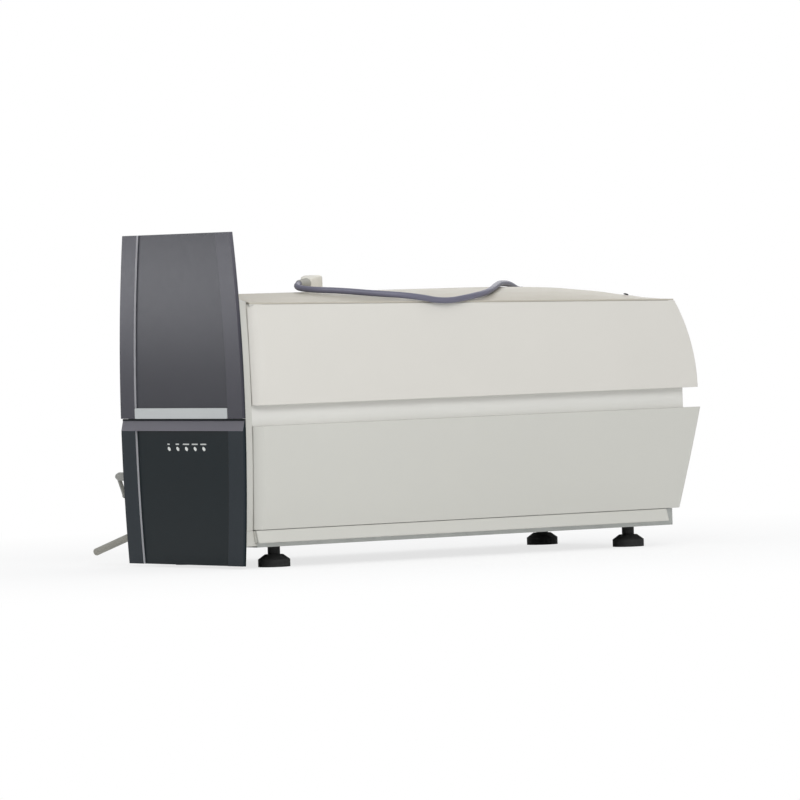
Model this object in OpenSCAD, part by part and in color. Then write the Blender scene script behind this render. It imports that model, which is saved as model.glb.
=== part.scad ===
/* [Overall] */
// Widest width of the dark front
body_w = 370; // [340:1:420]
// Height of the front above the bench
body_h = 540; // [500:1:600]
// Depth from the front face to the lower rear edge
body_l = 904; // [820:1:1000]
// Height at which the front is widest
waist_z = 245; // [235:1:260]
// Wall of the white covers
cover_t = 3; // [2:0.5:4]
// Gap between neighbouring covers
cover_gap = 0.8; // [0.5:0.1:1.5]

/* [Front] */
// How far each side draws in at the top of the front
top_draw = 22; // [10:1:35]
// How far each side draws in at the foot of the front
foot_draw = 13; // [5:1:25]
// Height of the seam between the two front covers
seam_z = 241; // [232:1:250]
// Underside of the lower front cover
front_foot_z = 5; // [3:1:12]
// Depth of both front covers
door_d = 6; // [5:0.5:9]
// Sheet of both front covers
door_t = 2.5; // [2:0.5:3]
// Width of the raised strip down each side
strip_w = 44; // [30:1:60]
// Depth of the step from the strips to the centre panel
step_d = 3.4; // [2:0.1:4]
// Height of the silver bar
bar_h = 17; // [12:1:24]
// Height of the bevel along the top of the lower cover
bevel_h = 19; // [12:1:26]
// Depth that the bevel falls back
bevel_d = 4.5; // [3:0.5:6]

/* [Covers] */
// Side top edge at the front
edge_front_z = 423; // [410:1:430]
// Side top edge at the rear
edge_rear_z = 406; // [395:1:412]
// Lower edge of the upper covers
groove_top_z = 261; // [257:1:266]
// Upper edge of the lower covers
groove_low_z = 228; // [222:1:232]
// Depth of the groove between the covers
groove_d = 15; // [8:1:20]
// Lower edge of the lower covers
panel_low_z = 62; // [56:1:70]
// Lower edge of the skirt
skirt_low_z = 41; // [34:1:48]
// How far the skirt stands out at its foot
skirt_flare = 6; // [2:1:10]
// Inset of the white covers from the front outline
cover_inset = 2; // [1:0.5:4]
// Where the white covers start behind the front face
cover_y0 = 26; // [22:1:32]
// Length of the rounded front corner of the covers
corner_l = 24; // [16:1:32]
// How far that corner draws in
corner_d = 9; // [5:1:12]
// How far the rear edge leans in at the top
rear_top_draw = 38; // [20:1:50]
// How far the rear edge leans in at the foot
rear_low_draw = 44; // [20:1:55]
// Height of the top cover's crown at the front
crown_front = 14; // [8:1:20]
// Height of the top cover's crown where it is highest
crown_mid = 24; // [16:1:30]

/* [Door] */
// Radius of the hinge pins
pin_r = 3; // [2.5:0.25:4]
// Running clearance round each pin
pin_fit = 0.05; // [0.03:0.01:0.1]
// Distance of the hinge line behind the door's back
hinge_back = 8; // [7.5:0.5:10]
// Distance of the hinge line below the door's top edge
hinge_drop = 13; // [12:1:16]

/* [Inside] */
// Front face of the bulkhead that carries the source
bulkhead_y = 150; // [140:1:170]
// Thickness of the bulkhead
bulkhead_t = 10; // [8:1:14]
// Radius of the source housing
source_r = 50; // [45:1:51]
// Height of the ion axis
ion_z = 322; // [315:1:325]
// Radius of the quadrupole rods
rod_r = 6; // [4:0.5:8]
// Length of each quadrupole
quad_l = 105; // [90:1:120]
// Radius of the turbo pump
turbo_r = 62; // [50:1:70]

/* [Rear] */
// Distance of the rear panel's face from the lower rear edge of the covers
rear_inset = 52; // [48:1:59]
// Size of the square fans
fan_w = 92; // [80:1:100]
// Radius of the vacuum port's bore
port_r = 12.5; // [10:0.5:16]
// Radius of the mains cord
cord_r = 5; // [4:0.5:5]

/* [Left side] */
// Outer radius of the drain pipe
drain_r = 6; // [4:0.5:8]
// Reach of the drain pipe past the front's widest width
drain_reach = 118; // [80:1:140]
// Fall of the drain pipe
drain_fall = 14; // [5:1:20]
// Height of the vent lever's shaft
lever_z = 146; // [130:1:170]

/* [Hidden] */
$fn = 64;
arc_fn = 720;
half_w = body_w/2;
top_r = (pow(body_h-waist_z, 2) + top_draw*top_draw)/(2*top_draw);
low_r = (waist_z*waist_z + foot_draw*foot_draw)/(2*foot_draw);
edge_y1 = body_l - 4 - rear_top_draw;
upper_y1 = body_l - 4;
rear_y = body_l - rear_inset;
rear_t = 2;
rear_arc_h = edge_rear_z - groove_top_z;
rear_arc_r = (rear_arc_h*rear_arc_h + rear_top_draw*rear_top_draw)/(2*rear_top_draw);
far = 2000;
drain_end_x = -half_w - drain_reach;
origin = [-(drain_end_x + half_w)/2, -body_l/2, 0];

// Colours
dark = [0.27, 0.28, 0.31];
white = [0.87, 0.86, 0.83];
grey = [0.60, 0.60, 0.58];
steel = [0.72, 0.73, 0.74];

// The machine's own coordinates have the front face at y = 0 and its middle at x = 0.
// Every piece is then moved to the origin under the middle of the whole footprint.
module placed() translate(origin) children();

// A profile in x and z, extruded from y0 to y1
module along_y(y0, y1) translate([0, y1, 0]) rotate([90, 0, 0]) linear_extrude(y1 - y0) children();

// A profile in y and z, extruded from x0 to x1
module across_x(x0, x1) translate([x0, 0, 0]) rotate([90, 0, 90]) linear_extrude(x1 - x0) children();

// A box from its low corner to its high corner
module block(low, high) translate(low) cube(high - low);

// Half-width of the front outline at height z
function half_at(z, inset = 0) = z > waist_z
    ? half_w - top_r + sqrt(pow(top_r - inset, 2) - pow(z - waist_z, 2))
    : half_w - low_r + sqrt(pow(low_r - inset, 2) - pow(z - waist_z, 2));

// The front's outline between two heights: two arcs each side that meet at the waist
module outline(z0, z1, inset = 0) {
    if (z1 > waist_z) arc_part(top_r, max(z0, waist_z), z1, inset);
    if (z0 < waist_z) arc_part(low_r, z0, min(z1, waist_z), inset);
}

module arc_part(r, z0, z1, inset) intersection() {
    translate([-half_w, z0]) square([body_w, z1 - z0]);
    translate([half_w - r, waist_z]) circle(r - inset, $fn = arc_fn);
    translate([r - half_w, waist_z]) circle(r - inset, $fn = arc_fn);
}

// ---------- Front ----------
module slab(z0, z1) translate([-far/2, z0]) square([far, z1 - z0]);

// A pressed cover: hollow raised strips each side of a stepped centre panel
module pressed_cover(z0, z1) {
    difference() {
        along_y(0, door_d) outline(z0, z1);
        along_y(door_t, door_d + 1) intersection() {
            outline(z0, z1, door_t);
            slab(z0 + door_t, z1 - door_t);
        }
        along_y(-1, door_t + 1) outline(z0 - 1, z1 + 1, strip_w);
    }
    difference() {
        along_y(0, door_d) outline(z0, z1, strip_w - door_t);
        along_y(-1, step_d) outline(z0 - 1, z1 + 1, strip_w);
    }
}

hinge_z = body_h - hinge_drop;
hinge_y = door_d + hinge_back;
ear_r = 6.5;
ear_w = 14;
ear_x = [-80, 80];
knuckle_w = 10;
knuckle_gap = 0.5;

module rod_x(x0, length, r) translate([x0, hinge_y, hinge_z]) rotate([0, 90, 0]) cylinder(r = r, h = length);

module knuckle(x0) difference() {
    union() {
        rod_x(x0, knuckle_w, ear_r);
        block([x0, door_d - 1, hinge_z - ear_r], [x0 + knuckle_w, hinge_y, hinge_z + ear_r]);
    }
    rod_x(x0 - 1, knuckle_w + 2, pin_r + pin_fit);
}

module upper_door() placed() color(dark) {
    pressed_cover(seam_z + cover_gap/2, body_h);
    for (x = ear_x) {
        knuckle(x - ear_w/2 - knuckle_gap - knuckle_w);
        knuckle(x + ear_w/2 + knuckle_gap);
    }
}

bar_z0 = seam_z + cover_gap/2;
bar_half = half_w - strip_w - 0.6;
bar_round = 2.5;

module door_handle() placed() color([0.8, 0.81, 0.81]) {
    along_y(-0.6, step_d) {
        translate([-bar_half + bar_round, bar_z0]) square([2*(bar_half - bar_round), bar_h]);
        translate([-bar_half, bar_z0 + bar_round]) square([2*bar_half, bar_h - 2*bar_round]);
        for (x = [-1, 1], z = [bar_round, bar_h - bar_round])
            translate([x*(bar_half - bar_round), bar_z0 + z]) circle(bar_round);
    }
}

module hinge_pins() placed() color(steel)
    for (x = ear_x) rod_x(x - ear_w/2 - knuckle_w - 3, ear_w + 2*knuckle_w + 6, pin_r);

led_x = [for (i = [0:4]) -43.5 + i*26.3];
led_z = 192.5;
lens_slant = 30;

// A slanted oval: two rounds joined by straight sides
module lens_shape(r) rotate(-lens_slant) {
    square([3.2, 2*r], center = true);
    for (s = [-1.6, 1.6]) translate([s, 0]) circle(r);
}

// The bevel leaves room for fingers under the door
lower_z1 = seam_z - cover_gap/2;
module bevel() across_x(-half_w, half_w) polygon([
    [-1, lower_z1 - bevel_h], [0, lower_z1 - bevel_h], [bevel_d, lower_z1 + 1], [-1, lower_z1 + 1]
]);

module lower_front_cover() placed() color(dark) {
    difference() {
        pressed_cover(front_foot_z, lower_z1);
        bevel();
        for (x = led_x) translate([x, 0, led_z]) along_y(-1, door_d + 1) lens_shape(2.7);
    }
    // sheet behind the bevel
    difference() {
        along_y(0, door_d) intersection() {
            outline(front_foot_z, lower_z1);
            slab(lower_z1 - bevel_h - 1, lower_z1);
        }
        bevel();
        along_y(-1, step_d) intersection() {
            outline(front_foot_z, lower_z1, strip_w);
            slab(lower_z1 - bevel_h - 2, lower_z1 - bevel_h);
        }
    }
}

module status_lenses() placed() color([0.93, 0.94, 0.92])
    for (x = led_x) translate([x, 0, led_z]) along_y(step_d - 0.6, door_d + 1.5) lens_shape(2.6);

module indicator_board() placed() color([0.2, 0.4, 0.3]) {
    block([-62, door_d + 4, led_z - 14], [80, door_d + 5.6, led_z + 14]);
    for (x = led_x) translate([x, 0, led_z]) along_y(door_d + 1.8, door_d + 4) circle(2.2);
    for (x = [-57, 75]) translate([x, 0, led_z]) along_y(door_d + 0.2, door_d + 4) circle(3);
}

// ---------- Frame behind the front ----------
frame_inset = 12;
frame_t = 3;
frame_y0 = door_d + 1;
frame_y1 = cover_y0 - 0.6;
frame_z0 = skirt_low_z + 1;
frame_top = hinge_z - 25;
bay_half = 150;
bay_z0 = groove_top_z + 4;
bay_z1 = 408;
sail_half = 128;

module front_frame() placed() color(grey) {
    // ring round the doorway
    difference() {
        along_y(frame_y0, frame_y1) outline(frame_z0, edge_front_z - 8, frame_inset);
        along_y(frame_y0 - 1, frame_y1 + 1) intersection() {
            outline(frame_z0, edge_front_z, frame_inset + frame_t);
            union() {
                slab(frame_z0 + frame_t, seam_z - 12);
                slab(seam_z + 12, edge_front_z - 8 - frame_t);
            }
        }
        along_y(frame_y0 - 1, frame_y0 + 8) intersection() {
            outline(frame_z0, edge_front_z, frame_inset + frame_t);
            slab(seam_z - 9, seam_z + 9);
        }
    }
    // pan behind the upper part of the door
    difference() {
        block([-sail_half, frame_y0, edge_front_z - 11], [sail_half, cover_y0, frame_top]);
        block([-sail_half + frame_t, frame_y0 - 1, edge_front_z - 12],
              [sail_half - frame_t, cover_y0 - frame_t, frame_top - frame_t]);
    }
    for (x = ear_x) difference() {
        union() {
            rod_x(x - ear_w/2, ear_w, ear_r);
            block([x - ear_w/2, hinge_y - 3, frame_top - 1], [x + ear_w/2, hinge_y + 3, hinge_z]);
        }
        rod_x(x - ear_w/2 - 1, ear_w + 2, pin_r + pin_fit);
    }
}

module bay_liner() placed() color(grey) difference() {
    union() {
        block([-bay_half, cover_y0, bay_z0], [bay_half, bulkhead_y - 0.5, bay_z1]);
        // flange that closes the space round the bay
        along_y(cover_y0, cover_y0 + 2) outline(bay_z0 - 6, bay_z1 + 2, groove_d + rail_t + 2);
    }
    block([-bay_half + 2, cover_y0 - 1, bay_z0 + 2], [bay_half - 2, bulkhead_y + 1, bay_z1 - 2]);
}

// ---------- White covers ----------
function edge_at(y) = edge_front_z + (edge_rear_z - edge_front_z)*(y - cover_y0)/(edge_y1 - cover_y0);

// The upper cover's side view, drawn in by a wall
module upper_side(i) intersection() {
    polygon([
        [cover_y0 - 1, groove_top_z + i], [far, groove_top_z + i],
        [far, edge_at(far) - i], [cover_y0 - 1, edge_at(cover_y0 - 1) - i]
    ]);
    union() {
        translate([upper_y1 - rear_arc_r, groove_top_z]) circle(rear_arc_r - i, $fn = arc_fn);
        translate([0, 0]) square([upper_y1 - rear_arc_r, far]);
    }
}

// The lower cover's side view, drawn in by a wall
module lower_side(i) polygon([
    [cover_y0 - 1, panel_low_z + i], [body_l - rear_low_draw - i, panel_low_z + i],
    [body_l - i, groove_low_z - i], [cover_y0 - 1, groove_low_z - i]
]);

// The right cover's plan, with its rounded front corner
corner_r = (corner_l*corner_l + corner_d*corner_d)/(2*corner_d);
corner_bulge = 2;
module cover_plan(i) {
    x = half_w - cover_inset + corner_bulge - corner_r;
    translate([0, cover_y0 - 1]) intersection() {
        square([2*half_w, far]);
        union() {
            translate([0, corner_l + 1]) square([2*half_w, far]);
            square([x, far]);
            translate([x, corner_l + 1]) circle(corner_r - i, $fn = arc_fn);
        }
    }
}

// The corner leans as the outline does between its waist and its far edge
module cover_solid(i, z0, z1, lean) intersection() {
    along_y(cover_y0 - (i > 0 ? 1 : 0), far) outline(z0, z1, cover_inset + i);
    translate([half_w, 0, waist_z]) rotate([0, lean, 0]) translate([-half_w, 0, z0 - 10 - waist_z])
        linear_extrude(z1 - z0 + 20) cover_plan(i);
    children();
}

rear_return = groove_d - cover_inset - 0.5;
upper_lean = -atan((half_w - half_at(edge_front_z))/(edge_front_z - waist_z));
lower_lean = atan((half_w - half_at(panel_low_z))/(waist_z - panel_low_z));

// One side's cover: the shell, cut back to a return flange at the rear
module side_cover(z0, z1, upper) difference() {
    cover_solid(0, z0, z1, upper ? upper_lean : lower_lean)
        across_x(0, half_w) if (upper) upper_side(0); else lower_side(0);
    cover_solid(cover_t, z0, z1, upper ? upper_lean : lower_lean)
        across_x(0, half_w) if (upper) upper_side(cover_t); else lower_side(cover_t);
    along_y(0, far) outline(z0 - 1, z1 + 1, cover_inset + rear_return);
    block([-far, -1, z0 - 1], [0, far, z1 + 1]);
}

module right_upper_cover() placed() color(white) side_cover(groove_top_z, edge_front_z + 5, true);
module left_upper_cover() placed() color(white) mirror([1, 0, 0])
    side_cover(groove_top_z, edge_front_z + 5, true);
module right_lower_cover() placed() color(white) side_cover(panel_low_z, groove_low_z, false);
module left_lower_cover() placed() color(white) mirror([1, 0, 0]) side_cover(panel_low_z, groove_low_z, false);

skirt_y1 = body_l - rear_low_draw - 26;

module skirt() {
    x = half_at(panel_low_z) - cover_inset;
    z = panel_low_z - cover_gap;
    along_y(cover_y0, skirt_y1) polygon([
        [x - 5, z], [x - 1, z], [x + skirt_flare, skirt_low_z + 2], [x + skirt_flare, skirt_low_z],
        [x + skirt_flare - 3, skirt_low_z], [x - 5, z - 12]
    ]);
}

module right_skirt() placed() color(white) skirt();
module left_skirt() placed() color(white) mirror([1, 0, 0]) skirt();

rail_half = half_w - groove_d;
rail_t = 3;
rail_z0 = groove_low_z - 4;
rail_z1 = groove_top_z + 6;
// Rail that closes the groove on both sides and across the rear
module waist_rails() placed() color(white) difference() {
    block([-rail_half, cover_y0, rail_z0], [rail_half, body_l - 26, rail_z1]);
    block([-rail_half + rail_t, cover_y0 - 1, rail_z0 - 1],
          [rail_half - rail_t, body_l - 26 - rail_t, rail_z1 + 1]);
}

// ---------- Top cover ----------
roof_nx = 12;
roof_ny = 18;
roof_y0 = cover_y0 + 1;
roof_y1 = edge_y1 - 1;
crown_y = 600;
function roof_half(y) = half_at(edge_at(y), cover_inset) - 1;
function crown_at(y) = y < crown_y
    ? crown_front + (crown_mid - crown_front)*y/crown_y
    : crown_mid*(1 - pow((y - crown_y)/(roof_y1 - crown_y + 0.01), 3));
roof_t = 2.4;
roof_gap = 0.4;
function roof_z(u, y) = edge_at(y) + roof_gap + roof_t + crown_at(y)*(1 - pow(abs(u), 2.6));

module crowned_sheet() {
    us = [for (i = [0:roof_nx]) -cos(180*i/roof_nx)];
    ys = [for (j = [0:roof_ny]) roof_y0 + (roof_y1 - roof_y0)*j/roof_ny];
    top = [for (y = ys, u = us) [u*roof_half(y), y, roof_z(u, y)]];
    low = [for (y = ys, u = us) [u*roof_half(y), y, roof_z(u, y) - roof_t]];
    n = roof_nx + 1;
    count = len(top);
    polyhedron(concat(top, low), concat(
        [for (j = [0:roof_ny - 1], i = [0:roof_nx - 1]) each [
            [j*n + i, (j + 1)*n + i, j*n + i + 1], [j*n + i + 1, (j + 1)*n + i, (j + 1)*n + i + 1]]],
        [for (j = [0:roof_ny - 1], i = [0:roof_nx - 1]) each [
            [count + j*n + i, count + j*n + i + 1, count + (j + 1)*n + i],
            [count + j*n + i + 1, count + (j + 1)*n + i + 1, count + (j + 1)*n + i]]],
        [for (j = [0:roof_ny - 1]) each [
            [j*n, count + j*n, count + (j + 1)*n], [j*n, count + (j + 1)*n, (j + 1)*n],
            [j*n + n - 1, count + (j + 1)*n + n - 1, count + j*n + n - 1],
            [j*n + n - 1, (j + 1)*n + n - 1, count + (j + 1)*n + n - 1]]],
        [for (i = [0:roof_nx - 1]) each [
            [i, i + 1, count + i + 1], [i, count + i + 1, count + i],
            [roof_ny*n + i, count + roof_ny*n + i + 1, roof_ny*n + i + 1],
            [roof_ny*n + i, count + roof_ny*n + i, count + roof_ny*n + i + 1]]]
    ));
}

lip_half = half_at(edge_rear_z) - cover_inset - rear_return - 2;
module top_cover() placed() color(white) {
    crowned_sheet();
    // lip turned down over the rear panel
    block([-lip_half, roof_y1 - 3, edge_rear_z - 9], [lip_half, roof_y1 - 0.6, edge_rear_z + roof_gap + 1]);
}

// ---------- Base ----------
base_z0 = 34;
base_z1 = panel_low_z - 0.6;
base_half = half_at(panel_low_z) - cover_inset - 5.6;
base_y0 = cover_y0 + 4;
base_y1 = rear_y - rear_t - 0.6;
// Half-width between the lower covers' bottom flanges
flange_gap_half = half_at(panel_low_z) - cover_inset - rear_return - 1;
above_flange_z = panel_low_z + cover_t + 0.6;
stiffener_x = 75;
stiffener_z1 = base_z1 - 1;
foot_x = 125;
foot_ys = [90, rear_y - 62];
foot_r = 26;

module base_frame() placed() color(steel) {
    difference() {
        block([-base_half, base_y0, base_z0], [base_half, base_y1, base_z1]);
        block([-base_half + 3, base_y0 + 3, base_z0 + 3], [base_half - 3, base_y1 - 3, base_z1 + 1]);
        for (x = [-foot_x, foot_x], y = foot_ys) translate([x, y, base_z0 - 1]) cylinder(r = 5.1, h = 8);
    }
    for (x = [-stiffener_x, stiffener_x])
        block([x - 2, base_y0 + 2, base_z0 + 2], [x + 2, base_y1 - 2, stiffener_z1]);
}

module feet() placed() color([0.2, 0.2, 0.2]) for (x = [-foot_x, foot_x], y = foot_ys) translate([x, y, 0]) {
    cylinder(r = foot_r, h = 12);
    translate([0, 0, 12]) cylinder(r1 = foot_r, r2 = 15, h = 8);
    cylinder(r = 10, h = base_z0);
    cylinder(r = 5, h = base_z0 + 12);
}

// ---------- Rear ----------
rear_z0 = base_z0 + 4;
rear_z1 = edge_rear_z - cover_t - 0.6;
socket_z = 319;
port_z = 330;
gas_x = [for (i = [0:2]) -90 - i*28];
gas_z = 350;
fan_x = 78;
fan_z = 150;
fan_d = 26;
blade_r = fan_w/2 - 6;
gland_x = -150;
gland_z = 112;
switch_x = 125;
switch_z = 330;

module at_rear(x, z, y = 0) translate([x, rear_y + y, z]) rotate([-90, 0, 0]) children();

module rear_panel() placed() color(white) difference() {
    union() {
        along_y(rear_y - rear_t, rear_y) outline(above_flange_z, rear_z1, cover_inset + cover_t + 0.8);
        block([-flange_gap_half, rear_y - rear_t, rear_z0], [flange_gap_half, rear_y, above_flange_z + 1]);
    }
    for (s = [-1, 1]) translate([s*(rail_half + far/2 - rail_t - 0.6), rear_y - 1, (rail_z0 + rail_z1)/2])
        cube([far, 4, rail_z1 - rail_z0 + 1.2], center = true);
    for (x = [-fan_x, fan_x]) at_rear(x, fan_z, -rear_t - 1) cylinder(r = blade_r + 1, h = rear_t + 2);
    at_rear(gland_x, gland_z, -rear_t - 1) cylinder(r = 9.1, h = rear_t + 2);
    at_rear(0, port_z, -rear_t - 1) cylinder(r = 21.2, h = rear_t + 2);
    for (x = gas_x) at_rear(x, gas_z, -rear_t - 1) cylinder(r = 6.1, h = rear_t + 2);
    block([switch_x - 14.2, rear_y - rear_t - 1, switch_z - 11.2],
          [switch_x + 14.2, rear_y + 1, switch_z + 11.2]);
    for (z = [285:14:385], x = [60, 80]) if (abs(z - 330) < 60)
        block([x - 8, rear_y - rear_t - 1, z], [x + 8, rear_y + 1, z + 5]);
    for (z = [socket_z, socket_z - 24]) block([-146, rear_y - rear_t - 1, z - 7], [-98, rear_y + 1, z + 7]);
}

module fan_frames() placed() color([0.15, 0.15, 0.15]) for (x = [-fan_x, fan_x]) {
    y1 = rear_y - rear_t;
    difference() {
        block([x - fan_w/2, y1 - fan_d, fan_z - fan_w/2], [x + fan_w/2, y1, fan_z + fan_w/2]);
        at_rear(x, fan_z, -rear_t - fan_d - 1) cylinder(r = blade_r + 1, h = fan_d + 2);
    }
    difference() {
        union() {
            at_rear(x, fan_z, -rear_t - fan_d) cylinder(r = 15, h = 4);
            for (a = [45, 135]) translate([x, y1 - fan_d, fan_z]) rotate([0, a, 0])
                block([-blade_r - 2, 0, -2.5], [blade_r + 2, 3, 2.5]);
        }
        at_rear(x, fan_z, -rear_t - fan_d - 1) cylinder(r = 3.05, h = 8);
    }
}

module fan_rotor(x) {
    y0 = -rear_t - fan_d;
    at_rear(x, fan_z, y0 + 5) cylinder(r = 16, h = fan_d - 8);
    at_rear(x, fan_z, y0 + 0.5) cylinder(r = 3, h = 6);
    for (a = [0:360/7:359]) translate([x, rear_y + y0 + 7, fan_z]) rotate([0, a, 0])
        translate([15, 0, 0]) rotate([35, 0, 0]) block([0, -0.5, -1], [blade_r - 16.5, 13, 1]);
}

module fan_rotor_right() placed() color([0.2, 0.2, 0.2]) fan_rotor(fan_x);
module fan_rotor_left() placed() color([0.2, 0.2, 0.2]) fan_rotor(-fan_x);

module fan_guards() placed() color(steel) for (x = [-fan_x, fan_x]) {
    for (r = [10:9:blade_r]) at_rear(x, fan_z, 0.6) rotate_extrude() translate([r, 1.2]) circle(1.2, $fn = 16);
    for (a = [0, 90]) translate([x, rear_y + 2.6, fan_z]) rotate([0, a + 45, 0])
        block([-fan_w*0.6, 0, -1.2], [fan_w*0.6, 2, 1.2]);
    for (a = [45:90:315]) at_rear(x + fan_w*0.6*cos(a), fan_z + fan_w*0.6*sin(a), 0.1)
        cylinder(r = 3.5, h = 5.5);
}

module vacuum_port() placed() color(steel) difference() {
    union() {
        at_rear(0, port_z, -12) cylinder(r = 16, h = 52);
        at_rear(0, port_z, 37) cylinder(r = 20, h = 3);
        at_rear(0, port_z, 32) cylinder(r1 = 16, r2 = 20, h = 5);
        at_rear(0, port_z, -rear_t) cylinder(r = 21, h = rear_t);
        at_rear(0, port_z, 0.1) cylinder(r = 26, h = 3);
    }
    at_rear(0, port_z, -13) cylinder(r = port_r, h = 54);
}

module gas_fittings() placed() color([0.75, 0.65, 0.35]) for (x = gas_x) difference() {
    union() {
        at_rear(x, gas_z, -14) cylinder(r = 6, h = 30);
        at_rear(x, gas_z, 0.1) cylinder(r = 9, h = 7, $fn = 6);
        at_rear(x, gas_z, 9) cylinder(r = 8, h = 8, $fn = 6);
    }
    at_rear(x, gas_z, -15) cylinder(r = 3.2, h = 33);
}

module signal_sockets() placed() color([0.16, 0.16, 0.17]) for (z = [socket_z, socket_z - 24]) difference() {
    union() {
        block([-145.6, rear_y - rear_t - 10, z - 6.6], [-98.4, rear_y + 1, z + 6.6]);
        block([-150, rear_y + 0.1, z - 10], [-94, rear_y + 2, z + 10]);
    }
    block([-141, rear_y - 6, z - 4], [-103, rear_y + 3, z + 4]);
}
rocker_half = 10.6;
rocker_tilt = 7;
rocker_pivot_y = rear_y - 4;
rocker_pin_r = 1.6;

module rocker_axle(r, half) translate([switch_x - half, rocker_pivot_y, switch_z])
    rotate([0, 90, 0]) cylinder(r = r, h = 2*half);

module switch_frame() placed() color([0.12, 0.12, 0.12]) difference() {
    union() {
        block([switch_x - 14, rear_y - 22, switch_z - 11], [switch_x + 14, rear_y + 1, switch_z + 11]);
        block([switch_x - 17, rear_y + 0.1, switch_z - 14], [switch_x + 17, rear_y + 2, switch_z + 14]);
    }
    block([switch_x - 11, rear_y - 12, switch_z - 7], [switch_x + 11, rear_y + 3, switch_z + 7]);
    rocker_axle(rocker_pin_r + pin_fit, rocker_half + 1.6);
}

module power_rocker() placed() color([0.1, 0.1, 0.1]) {
    translate([0, rocker_pivot_y, switch_z]) rotate([rocker_tilt, 0, 0])
        across_x(switch_x - rocker_half, switch_x + rocker_half)
            polygon([[-4, -5], [3, -6], [1.4, 0], [3, 6], [-4, 5]]);
    rocker_axle(rocker_pin_r, rocker_half + 1.4);
}

module cable_gland() placed() color([0.13, 0.13, 0.13]) {
    at_rear(gland_x, gland_z, -12) cylinder(r = 9, h = 22);
    at_rear(gland_x, gland_z, 0.1) cylinder(r = 13, h = 6, $fn = 6);
    at_rear(gland_x, gland_z, -8) cylinder(r = 13, h = 5.5, $fn = 6);
    at_rear(gland_x, gland_z, 10) rotate_extrude() polygon([[0, 0], [9, 0], [7.4, 14], [6, 38], [0, 38]]);
}

// ---------- Source ----------
source_y0 = 70;
source_y1 = bulkhead_y - 0.5;
source_wall = 7;
probe_y = 108;
probe_r = 9;

module at_axis(y, x = 0, z = 0) translate([x, y, ion_z + z]) rotate([-90, 0, 0]) children();

module bulkhead() placed() color(steel) difference() {
    w = rail_half - rail_t - 0.5;
    y1 = bulkhead_y + bulkhead_t;
    union() {
        block([-w, bulkhead_y, above_flange_z], [w, y1, bay_z1]);
        block([-flange_gap_half, bulkhead_y, base_z1 + 0.4], [flange_gap_half, y1, above_flange_z + 1]);
    }
    at_axis(bulkhead_y - 1) cylinder(r = 30, h = bulkhead_t + 2);
}

module source_housing() placed() color([0.78, 0.78, 0.76]) difference() {
    union() {
        at_axis(source_y0) cylinder(r = source_r, h = source_y1 - source_y0);
        at_axis(source_y1 - 8) cylinder(r = source_r + 4, h = 8);
        translate([0, probe_y, ion_z]) cylinder(r = probe_r + 6, h = source_r + 4);
        block([-source_r - 12, source_y1 - 22, ion_z - 20], [-source_r + 6, source_y1 - 9, ion_z + 20]);
    }
    at_axis(source_y0 + source_wall) cylinder(r = source_r - source_wall, h = source_y1);
    at_axis(source_y0 - 1) cylinder(r = 26, h = source_wall + 2);
    at_axis(source_y0 - 1) cylinder(r = 30.1, h = 3.5);
    translate([0, probe_y, ion_z + 10]) cylinder(r = probe_r + 0.1, h = far/10);
}

module source_window() placed() color([0.75, 0.85, 0.88, 0.4])
    at_axis(source_y0 + 0.2) cylinder(r = 30, h = 2.2);

latch_x = source_r + 16;
module source_latch() placed() color(dark) {
    at_axis(source_y1 - 27, latch_x) cylinder(r = 9, h = 27.2);
    at_axis(source_y1 - 38, latch_x) hull() {
        cylinder(r = 9, h = 11.5, $fn = 32);
        translate([0, 26, 0]) cylinder(r = 6, h = 11.5, $fn = 32);
    }
}

module spray_probe() placed() color(steel) translate([0, probe_y, ion_z]) {
    translate([0, 0, source_r - 18]) cylinder(r = probe_r, h = 28);
    translate([0, 0, source_r - 44]) cylinder(r1 = 1.5, r2 = 4, h = 27);
    translate([0, 0, source_r + 4.5]) cylinder(r = probe_r + 5, h = 5.5);
    translate([0, 0, source_r + 9]) cylinder(r = 4, h = 22);
}

knob_z = ion_z + source_r + 10.5;
knob_r = 13;
knob_h = 12;
module probe_knob() placed() color([0.2, 0.2, 0.22]) translate([0, probe_y, knob_z]) difference() {
    cylinder(r = knob_r, h = knob_h);
    translate([0, 0, -1]) cylinder(r = 4 + pin_fit, h = knob_h + 2);
    for (a = [0:15:359]) rotate(a) translate([knob_r + 0.6, 0, -1]) cylinder(r = 1.2, h = knob_h + 2);
}

module desolvation_block() placed() color([0.6, 0.6, 0.58]) difference() {
    union() {
        at_axis(bulkhead_y - 18) cylinder(r = 26, h = bulkhead_t + 18 + 1);
        at_axis(bulkhead_y - 34) cylinder(r1 = 7, r2 = 14, h = 17);
        at_axis(bulkhead_y + bulkhead_t + 0.4) cylinder(r = 38, h = 6.2);
    }
    at_axis(bulkhead_y - 35) cylinder(r = 1.6, h = 60);
}

// ---------- Vacuum chamber ----------
chamber_y0 = bulkhead_y + bulkhead_t + 7;
chamber_y1 = chamber_y0 + 2*quad_l + 280;
chamber_half = 90;
chamber_z0 = ion_z - 64;
chamber_z1 = ion_z + 52;
chamber_wall = 12;
turbo_y = chamber_y0 + 200;

// A rectangular ring as wide as the chamber less its inset
module seal_ring(inset, wide, z0, z1) difference() {
    block([-chamber_half + inset, chamber_y0 + inset, z0], [chamber_half - inset, chamber_y1 - inset, z1]);
    block([-chamber_half + inset + wide, chamber_y0 + inset + wide, z0 - 1],
          [chamber_half - inset - wide, chamber_y1 - inset - wide, z1 + 1]);
}

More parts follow.
